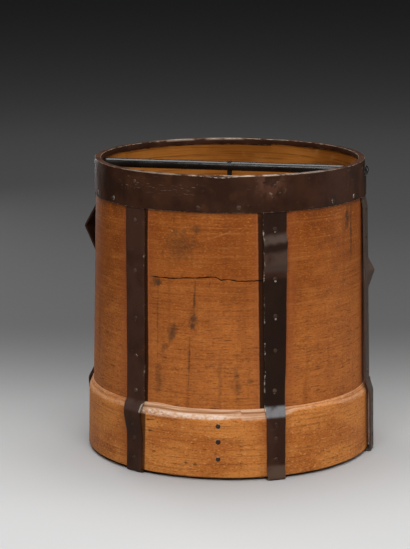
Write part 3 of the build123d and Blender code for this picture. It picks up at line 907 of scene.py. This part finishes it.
class BentSheet(Finish):
    """Wood of a sheet bent round the tub, with its grain running round."""

    def __init__(self, name, seam):
        super().__init__(name)
        turned_x = self.x * cos(seam + pi) + self.y * sin(seam + pi)
        turned_y = self.y * cos(seam + pi) - self.x * sin(seam + pi)
        self.radius = (self.x * self.x + self.y * self.y) ** 0.5
        self.angle = self.sum("ARCTAN2", self.y, self.x)
        self.sheet = self.vector(
            self.sum("ARCTAN2", turned_y, turned_x) * WALL_FOOT_RADIUS, self.radius, self.z
        )
        from_strap = self.sum("PINGPONG", self.angle, radians(30)) * self.radius
        self.beside_strap = from_strap - (self.z * (STRAP_TOP_WIDTH - STRAP_FOOT_WIDTH) / HEIGHT
                                          + STRAP_FOOT_WIDTH) * 0.5
        self.stand_off = self.radius + self.z * WALL_SLOPE - WALL_FOOT_RADIUS
        self.smear = self.noise(self.sheet, (260, 260, 190), 3) - 0.5

    def mark(self, angle, z, half_across, half_up, lean=0.0):
        """Soft uneven spot on the sheet: its middle, half sizes and lean."""
        up = self.z - z
        beside = (self.angle - radians(angle)) * WALL_FOOT_RADIUS - up * lean
        apart = ((beside / half_across) ** 2.0 + (up / half_up) ** 2.0) ** 0.5
        return self.fade(apart + self.smear * 2.2, 1.15, 0.1)

    def marks(self, *spots):
        """Several spots, each with its strength in front."""
        joined = 0.0
        for strength, *spot in spots:
            joined = self.sum("MAXIMUM", joined, self.mark(*spot) * strength)
        return joined


# Wood finishes, as they look in plain light, with some painted light and shade laid into their colours

def wall_wood():
    """Old varnished orange-brown sheet: fine grain, flecks, stains, and bare darker wood inside, with
    painted light and shade: lighter low down, darker high up and under the band, and painted shadows
    beside the front straps and in the crack.
    """
    f = BentSheet("wall_wood", WALL_SEAM)
    clouds = f.noise(f.sheet, (14, 40, 22), 3)
    patches = f.noise(f.sheet, (55, 40, 75), 6)
    lines = f.noise(f.sheet, (14, 200, 600), 4, 0.5)
    flecks = f.noise(f.sheet, (90, 200, 950), 3, 0.3)
    speckle = f.noise(f.sheet, (420, 300, 900), 3)
    drips = f.noise(f.sheet, (110, 60, 10), 3)
    low = f.fade(f.z, 0.235, 0.09)
    f.colour = f.mix((0.235, 0.056, 0.0080), (0.335, 0.092, 0.0160), f.fade(clouds, 0.36, 0.62))
    f.layer((0.400, 0.128, 0.024), f.fade(patches, 0.50, 0.70) * 0.75)
    f.layer((0.160, 0.044, 0.009), f.fade(patches, 0.48, 0.30) * 0.75)
    # Painted light and shade: the lower wall is made lighter, where light from the floor reaches it, and
    # the upper wall darker
    f.layer((0.480, 0.158, 0.037), low * 0.50)
    f.layer((0.160, 0.036, 0.004), (1 - low) * 0.40)
    f.layer((0.17, 0.043, 0.008), f.fade(lines, 0.50, 0.66) * 0.36)
    f.layer((0.48, 0.170, 0.040), f.fade(lines, 0.46, 0.32) * 0.28)
    f.layer((0.50, 0.180, 0.038), f.fade(speckle, 0.54, 0.72) * 0.55)
    f.layer((0.13, 0.038, 0.008), f.fade(speckle, 0.46, 0.30) * 0.55)
    f.layer((0.085, 0.026, 0.007), f.fade(flecks, 0.58, 0.69) * (low * 0.60 + 0.16))
    f.layer((0.17, 0.043, 0.010), f.fade(drips, 0.56, 0.72) * 0.30)
    red_edge = f.fade(f.beside_strap, 0.014, 0.003)
    f.layer((0.25, 0.062, 0.020), red_edge * 0.45)
    front_bay = f.between(f.angle, radians(-120), radians(-119), radians(-61), radians(-60))
    right_half = f.fade(f.angle, radians(-95), radians(-85))
    leaning = (1 - right_half) * (f.fade(f.z, BAND_LOW, HOOP_TOP) * 0.0033 + 0.0007)
    # Painted shadow: a near-black strip on the wall beside each front strap, on its side towards the bay
    # between them, with a pale line of wood just past it
    past_shadow_strip = f.beside_strap - front_bay * (right_half * 0.0018 + 0.0024 + leaning) + f.smear * 0.0006
    pale_edge = f.between(past_shadow_strip, 0.0002, 0.0009, 0.0012, 0.0022)
    f.layer((0.46, 0.17, 0.060), pale_edge * 0.18)
    f.layer((0.018, 0.007, 0.003), front_bay * f.fade(past_shadow_strip, 0.0004, -0.0004) * 0.95)
    stains = f.marks(
        (0.70, -92.4, 0.160, 0.0016, 0.016, 0.03),
        (0.80, -92.8, 0.141, 0.0044, 0.012),
        (0.55, -94.6, 0.098, 0.0010, 0.038, 0.03),
        (0.50, -91.6, 0.222, 0.0065, 0.006),
        (0.42, -98.5, 0.207, 0.0200, 0.020),
        (0.80, -109.0, 0.1735, 0.0075, 0.0055),
        (0.65, -102.0, 0.130, 0.0050, 0.013, 0.2),
        (0.50, -105.4, 0.115, 0.0040, 0.007, 0.3),
        (0.45, -108.6, 0.132, 0.0012, 0.040),
        (0.40, -108.0, 0.084, 0.0050, 0.018),
        (0.85, -20.5, 0.224, 0.0040, 0.014, 0.05),
        (0.70, -17.0, 0.208, 0.0022, 0.030),
        (0.35, -75.0, 0.085, 0.0036, 0.028),
        (0.28, -82.0, 0.088, 0.0024, 0.030),
        (0.60, -86.2, 0.1735, 0.0007, 0.0040, 0.15),
        (0.45, -86.0, 0.186, 0.0014, 0.0012),
        (0.45, -67.5, 0.118, 0.0060, 0.0012),
        (0.45, -65.5, 0.112, 0.0055, 0.0012),
        (0.40, -70.0, 0.088, 0.0040, 0.0030),
        (0.28, -63.5, 0.142, 0.0030, 0.0140),
    )
    f.layer((0.040, 0.024, 0.014), stains)
    scratch = f.marks(
        (0.24, -82.5, 0.2165, 0.0030, 0.0090, 3.0),
        (0.18, -80.0, 0.2060, 0.0160, 0.0010),
        (0.16, -84.0, 0.1450, 0.0300, 0.0008),
        (0.16, -80.0, 0.1020, 0.0300, 0.0008),
        (0.60, -102.2, 0.2190, 0.0009, 0.0009),
    )
    f.layer((0.52, 0.22, 0.075), scratch)
    # Painted shade: the wood just under the rim band is made darker
    shade_under_band = f.fade(f.z, BAND_LOW - 0.005, BAND_LOW) * 0.5
    f.layer((0.11, 0.033, 0.010), shade_under_band)
    outside = f.fade(f.stand_off, -WALL / 2 - 0.0006, -WALL / 2 + 0.0006)
    bare = f.mix((0.22, 0.072, 0.010), (0.34, 0.122, 0.020), f.fade(clouds, 0.38, 0.62))
    bare = f.mix(bare, (0.08, 0.026, 0.006), f.fade(lines, 0.50, 0.66) * 0.5)
    bare = f.mix(bare, (0.36, 0.17, 0.05), f.fade(patches, 0.56, 0.72) * 0.4)
    f.colour = f.mix(bare, f.colour, outside)
    # Painted shadow: the sunk floor of the crack is made near black
    crack_shadow = f.between(f.stand_off, -0.0032, -0.0028, -0.0010, -0.0005)
    f.layer((0.010, 0.004, 0.002), crack_shadow)
    rough = f.fade(patches, 0.3, 0.7) * 0.14 + 0.46 + (1 - outside) * 0.2
    relief = lines * 0.5 + flecks * 0.4 + patches * 0.7 + speckle * 0.25
    return f.done(base_color=f.colour, roughness=rough, specular_ior_level=0.05, coat_weight=0.03,
                  coat_roughness=0.25, normal=f.bump(relief, 0.00030))


def hoop_wood():
    """Golden sheet with many dark flecks, rubbed pale along its bevel, with a painted shadow right of
    the front left strap.
    """
    f = BentSheet("hoop_wood", radians(60))
    clouds = f.noise(f.sheet, (20, 40, 45), 3)
    lines = f.noise(f.sheet, (16, 200, 700), 4, 0.3)
    flecks = f.noise(f.sheet, (190, 200, 800), 4)
    glints = f.noise(f.sheet, (260, 200, 480), 4)
    speckle = f.noise(f.sheet, (480, 300, 900), 3)
    f.colour = f.mix((0.400, 0.118, 0.022), (0.560, 0.198, 0.043), f.fade(clouds, 0.34, 0.60))
    f.layer((0.64, 0.300, 0.105), f.fade(glints, 0.54, 0.70) * 0.65)
    f.layer((0.20, 0.056, 0.011), f.fade(lines, 0.50, 0.66) * 0.46)
    f.layer((0.085, 0.028, 0.008), f.fade(flecks, 0.57, 0.68) * 0.60)
    f.layer((0.62, 0.270, 0.080), f.fade(speckle, 0.55, 0.72) * 0.45)
    f.layer((0.15, 0.040, 0.009), f.fade(speckle, 0.46, 0.30) * 0.55)
    f.layer((0.22, 0.056, 0.014), f.fade(f.beside_strap, 0.010, 0.0) * 0.35)
    # Painted shadow: a dark strip on the hoop right of the front left strap
    shadow_right_of_strap = f.between(f.angle, radians(-118), radians(-117.5), radians(-105), radians(-100))
    shadow_right_of_strap *= f.fade(f.beside_strap, 0.0078, 0.0068)
    f.layer((0.05, 0.018, 0.006), shadow_right_of_strap * 0.85)
    marks = f.marks(
        (0.90, -110.5, 0.050, 0.0045, 0.0014, 3.0),
        (0.90, -110.5, 0.040, 0.0055, 0.0013),
        (0.70, -109.0, 0.022, 0.0040, 0.0010),
        (0.80, -95.0, 0.015, 0.0026, 0.0016),
        (0.70, -91.5, 0.014, 0.0022, 0.0014),
    )
    f.layer((0.05, 0.022, 0.010), marks)
    above = f.z - BEVEL_LOW + (glints - 0.5) * 0.0012
    bevel = f.fade(f.stand_off, HOOP + 0.0001, HOOP - 0.0006) * f.fade(above, -0.004, -0.002)
    streaks = f.noise(f.sheet, (24, 300, 900), 3)
    pale = f.mix((0.46, 0.225, 0.115), (0.66, 0.420, 0.265), f.fade(streaks, 0.36, 0.62))
    white = f.fade(f.stand_off, 0.0019, 0.0026) * f.fade(clouds, 0.36, 0.54) * f.fade(glints, 0.40, 0.60)
    white *= f.about(f.angle, -98, 28, 12) * 0.85 + 0.15
    pale = f.mix(pale, (0.84, 0.69, 0.58), white * 0.95)
    scribed = f.between(f.stand_off, 0.0014, 0.0017, 0.0019, 0.0022)
    pale = f.mix(pale, (0.26, 0.105, 0.040), scribed * 0.75)
    front = f.fade(f.sum("COSINE", f.angle - radians(-86)), 0.72, 0.91)
    f.layer(pale, bevel * (front * 0.56 + 0.30))
    foot = f.fade(f.z, STRAP + 0.005, STRAP + 0.001)
    f.layer((0.50, 0.24, 0.09), foot * f.fade(glints, 0.45, 0.6) * 0.5)
    rough = f.fade(clouds, 0.3, 0.7) * 0.14 + 0.46
    relief = lines * 0.4 + flecks * 0.6 + glints * 0.5
    return f.done(base_color=f.colour, roughness=rough, specular_ior_level=0.05, coat_weight=0.03,
                  coat_roughness=0.25, normal=f.bump(relief, 0.00035))


def board_wood():
    """Dusty bare boards with straight grain along the crossbar."""
    f = Finish("board_wood")
    plank = f.noise(f.vector(0.0, f.sum("ROUND", f.y / 0.092), 0.0), (1, 3.7, 1), 1)
    grain = f.noise(f.place, (9, 420, 300), 4, 0.5)
    rings = f.noise(f.place, (3, 60, 40), 3, 1.2)
    dust = f.noise(f.place, (60, 60, 60), 4)
    f.colour = f.mix((0.13, 0.052, 0.017), (0.26, 0.120, 0.042), f.fade(rings, 0.38, 0.62))
    f.layer((0.34, 0.170, 0.070), f.fade(plank, 0.4, 0.6) * 0.35)
    f.layer((0.07, 0.028, 0.010), f.fade(grain, 0.50, 0.66) * 0.6)
    f.layer((0.36, 0.26, 0.17), f.fade(dust, 0.52, 0.72) * 0.4)
    return f.done(base_color=f.colour, roughness=0.72, normal=f.bump(grain + dust * 0.4, 0.0005))


# Iron finishes

class OldIron(Finish):
    """Dark patina with rust-brown clouds, pitting, and edges rubbed bright."""

    def __init__(self, name, dark, brown, rubbed, rusty):
        super().__init__(name)
        self.rubbed = rubbed
        self.clouds = self.noise(self.place, (34, 34, 34), 4)
        self.rust = self.noise(self.place, (90, 90, 60), 4)
        self.chips = self.noise(self.place, (240, 240, 240), 3)
        self.scuffs = self.noise(self.place, (160, 160, 700), 3, 0.6)
        self.colour = self.mix(dark, brown, self.fade(self.clouds, 0.40, 0.62))
        self.layer((0.075, 0.024, 0.009), self.fade(self.rust, 0.55, 0.72) * rusty)
        self.layer(rubbed, self.fade(self.scuffs, 0.66, 0.76) * 0.12)

    def forged(self, gloss, dent, wear=0.62, shine=0.08):
        """The finished iron: its gloss, the depth of its dents, the wear of its edges, its shine."""
        wear_and_highlight = self.node("ShaderNodeAttribute", {"attribute_name": "wear_and_highlight"}, out="Fac")
        pits = self.noise(self.place, (700, 700, 700), 2)
        # Bare metal where edges are marked: real wear, and on the straps also painted highlights below
        # the nails and on a corner
        bare = self.fade(wear_and_highlight * wear + self.chips, 0.96, 1.16)
        self.layer(self.rubbed, bare)
        rough = self.fade(self.clouds, 0.3, 0.7) * 0.14 + gloss + self.fade(self.rust, 0.5, 0.7) * 0.12
        relief = self.clouds * 1.0 + self.rust * 0.5 + pits * 0.12
        return self.done(base_color=self.colour, roughness=rough, metallic=bare * 0.6,
                         specular_ior_level=shine, normal=self.bump(relief, dent))


def band_iron():
    """Brown patina of the rim band, with a tan line along its upper edge: rubbed metal, and at the back
    also a painted highlight.
    """
    f = OldIron("band_iron", (0.026, 0.0096, 0.0045), (0.042, 0.0155, 0.0075), (0.34, 0.27, 0.20), 0.45)
    breaks = f.noise(f.place, (70, 70, 70), 3)
    crest = f.fade(f.z, HEIGHT - 0.0006, HEIGHT + 0.0001)
    towards = (f.y * cos(CAMERA_TURN) - f.x * sin(CAMERA_TURN)) / WALL_TOP_RADIUS
    angle = f.sum("ARCTAN2", f.y, f.x)
    # The tan line is rubbed metal, and its parts at the back are also a painted highlight along the top
    rubbed_and_highlight_arc = f.fade(towards, -0.55, -0.85) * 0.32 + f.fade(towards, 0.6, 0.9) * 0.06
    rubbed_and_highlight_arc += f.about(angle, 116, 28, 12) * 0.35 + f.about(angle, -64, 14, 7) * 0.45
    f.layer((0.42, 0.33, 0.26), crest * f.fade(breaks, 0.38, 0.56) * rubbed_and_highlight_arc)
    at_left = f.between(angle, radians(-136), radians(-128), radians(-92), radians(-86))
    at_left *= f.between(f.z, 0.2495, 0.2530, 0.2580, 0.2610)
    scratches = f.noise(f.place, (150, 150, 1300), 3, 0.5)
    f.layer((0.30, 0.24, 0.18), at_left * f.fade(scratches, 0.60, 0.70) * 0.40)
    at_right = f.about(angle, -62, 8, 3) * f.fade(f.z, 0.244, 0.254)
    f.layer((0.085, 0.034, 0.020), at_right * f.fade(f.rust, 0.40, 0.56) * 0.7)
    f.layer((0.30, 0.24, 0.18), at_right * f.fade(f.chips, 0.62, 0.72) * 0.4)
    return f.forged(0.42, 0.0005, 0.58)


def strap_iron():
    """Brown-black patina of the straps, rubbed along their edges, with painted light: a grey sheen on
    the right strap, pale and dark bands on the front right strap, and silver on the bevel.
    """
    f = OldIron("strap_iron", (0.031, 0.0118, 0.0066), (0.048, 0.0200, 0.0115), (0.32, 0.27, 0.22), 0.35)
    angle = f.sum("ARCTAN2", f.y, f.x)
    beside = angle - STRAP_ANGLES["front_right"]
    front_right = f.fade(abs(beside), radians(12), radians(8))
    # Painted reflection: the strap at the bar's right end is made greyer, as if lit by the lamp at the
    # right
    f.layer((0.085, 0.066, 0.053), f.about(angle, 0, 12, 8) * 0.55)
    level = f.z - beside * 0.022 + (f.rust - 0.5) * 0.008
    # Painted shade: the front right strap is made darker from its crease upwards
    f.layer((0.018, 0.0080, 0.0048), front_right * f.fade(level, 0.198, 0.203) * 0.80)
    # Painted highlights: the upper face of the front right strap's bump and the panel below it are made
    # paler
    panel = f.fade(f.z, 0.182, 0.187) * f.fade(level, 0.2040, 0.1990)
    bump = f.between(level, 0.2070, 0.2110, 0.2140, 0.2200)
    pale = front_right * (panel * 0.60 + bump * 0.90)
    f.layer((0.070, 0.047, 0.036), pale * f.fade(f.rust, 0.20, 0.50))
    # Painted shade: the front right strap is made darker along its middle and lower part
    f.layer((0.011, 0.0050, 0.0030), front_right * f.between(f.z, 0.060, 0.066, 0.177, 0.182) * 0.8)
    # Painted reflection: silver-grey where the straps cross the hoop's bevel, strongest on the front
    # right strap
    bevel_reflection = f.between(f.z, BEVEL_LOW - 0.001, BEVEL_LOW + 0.002, HOOP_TOP, HOOP_TOP + 0.003)
    f.layer((0.25, 0.255, 0.265), bevel_reflection * (front_right * 0.62 + 0.05) * f.fade(f.rust, 0.20, 0.52))
    foot = f.fade(f.z, 0.015, 0.011)
    f.layer((0.105, 0.066, 0.046), foot * f.fade(f.clouds, 0.36, 0.56) * (front_right * 0.5 + 0.1))
    rubbed_left = front_right * f.fade(beside, radians(-2), radians(-4))
    beside = angle - STRAP_ANGLES["front_left"]
    rubbed_right = f.between(beside, radians(2), radians(4), radians(8), radians(12))
    return f.forged(0.40, 0.0005, rubbed_left * 0.16 + rubbed_right * 0.12 + 0.58)


def bar_iron():
    """Black forged iron of the bar and rod."""
    f = OldIron("bar_iron", (0.0065, 0.0058, 0.0050), (0.011, 0.0095, 0.0080), (0.12, 0.115, 0.11), 0.05)
    return f.forged(0.09, 0.00003, 0.5, 0.30)


def nail_iron():
    """Hammered nail heads."""
    f = OldIron("nail_iron", (0.036, 0.0190, 0.0125), (0.072, 0.042, 0.029), (0.36, 0.31, 0.26), 0.40)
    return f.forged(0.36, 0.0004, 0.78)


FINISHES = {
    "wall_wood": wall_wood(),
    "hoop_wood": hoop_wood(),
    "board_wood": board_wood(),
    "band_iron": band_iron(),
    "strap_iron": strap_iron(),
    "bar_iron": bar_iron(),
    "nail_iron": nail_iron(),
}


# Stage

def make_floor():
    """Pale floor whose grey falls off far from the tub, a painted falloff of light that starts just in
    front of it.
    """
    bm = bmesh.new()
    bmesh.ops.create_grid(bm, x_segments=1, y_segments=1, size=FLOOR_SIZE)
    mesh = bpy.data.meshes.new("floor")
    bm.to_mesh(mesh)
    bm.free()
    f = Finish("floor_paper")
    away = f.y * cos(CAMERA_TURN) - f.x * sin(CAMERA_TURN)
    f.colour = (FLOOR_FRONT,) * 3
    # Painted falloff of light: the floor's grey falls from pale in front to darker greys from just
    # before the tub to the far back
    for grey, start, end in FLOOR_GREYS:
        f.layer((grey,) * 3, f.fade(away, start, end))
    mesh.materials.append(f.done(base_color=f.colour, roughness=0.8))
    floor = new_object("floor", mesh)


def make_light():
    """Wide lamps overhead and in front, a strip at each side, and a dim grey room."""
    middle = Vector((0, 0, HEIGHT / 2))
    for name, (place, (width, height), watts) in LAMPS.items():
        lamp = bpy.data.lights.new(name, "AREA")
        lamp.shape = "RECTANGLE"
        lamp.size = width
        lamp.size_y = height
        lamp.energy = watts
        box = new_object(name, lamp)
        box.location = from_camera(*place)
        box.rotation_euler = (middle - box.location).to_track_quat("-Z", "Y").to_euler()
    world = bpy.data.worlds.new("grey_room")
    world.use_nodes = True
    light = world.node_tree.nodes["Background"].inputs
    light["Color"].default_value = (ROOM_GREY, ROOM_GREY, ROOM_GREY, 1)
    light["Strength"].default_value = ROOM_STRENGTH
    bpy.context.scene.world = world


def make_camera():
    """Camera at the photograph's place."""
    lens = bpy.data.cameras.new("camera")
    lens.sensor_fit = "VERTICAL"
    lens.sensor_height = SENSOR
    lens.lens = SENSOR * FOCAL_PIXELS / IMAGE_HEIGHT
    camera = new_object("camera", lens)
    camera.location = from_camera(0, -CAMERA_DISTANCE, CAMERA_HEIGHT)
    ahead = from_camera(
        -sin(CAMERA_SWING) * cos(CAMERA_PITCH), cos(CAMERA_SWING) * cos(CAMERA_PITCH), -sin(CAMERA_PITCH)
    )
    camera.rotation_euler = ahead.to_track_quat("-Z", "Y").to_euler()
    bpy.context.scene.camera = camera


make_wall()
make_hoop()
make_band()
for strap_name in STRAP_ANGLES:
    make_strap(strap_name)
for nail_node in NAIL_NODES:
    make_nails(nail_node)
make_bar()
make_rod()
for board in ("bottom_board_front", "bottom_board_middle", "bottom_board_back"):
    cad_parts[board].material_slots[0].material = FINISHES["board_wood"]
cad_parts["rod_rove"].material_slots[0].material = FINISHES["bar_iron"]
make_floor()
make_light()
make_camera()
bpy.context.scene.view_settings.view_transform = "Standard"
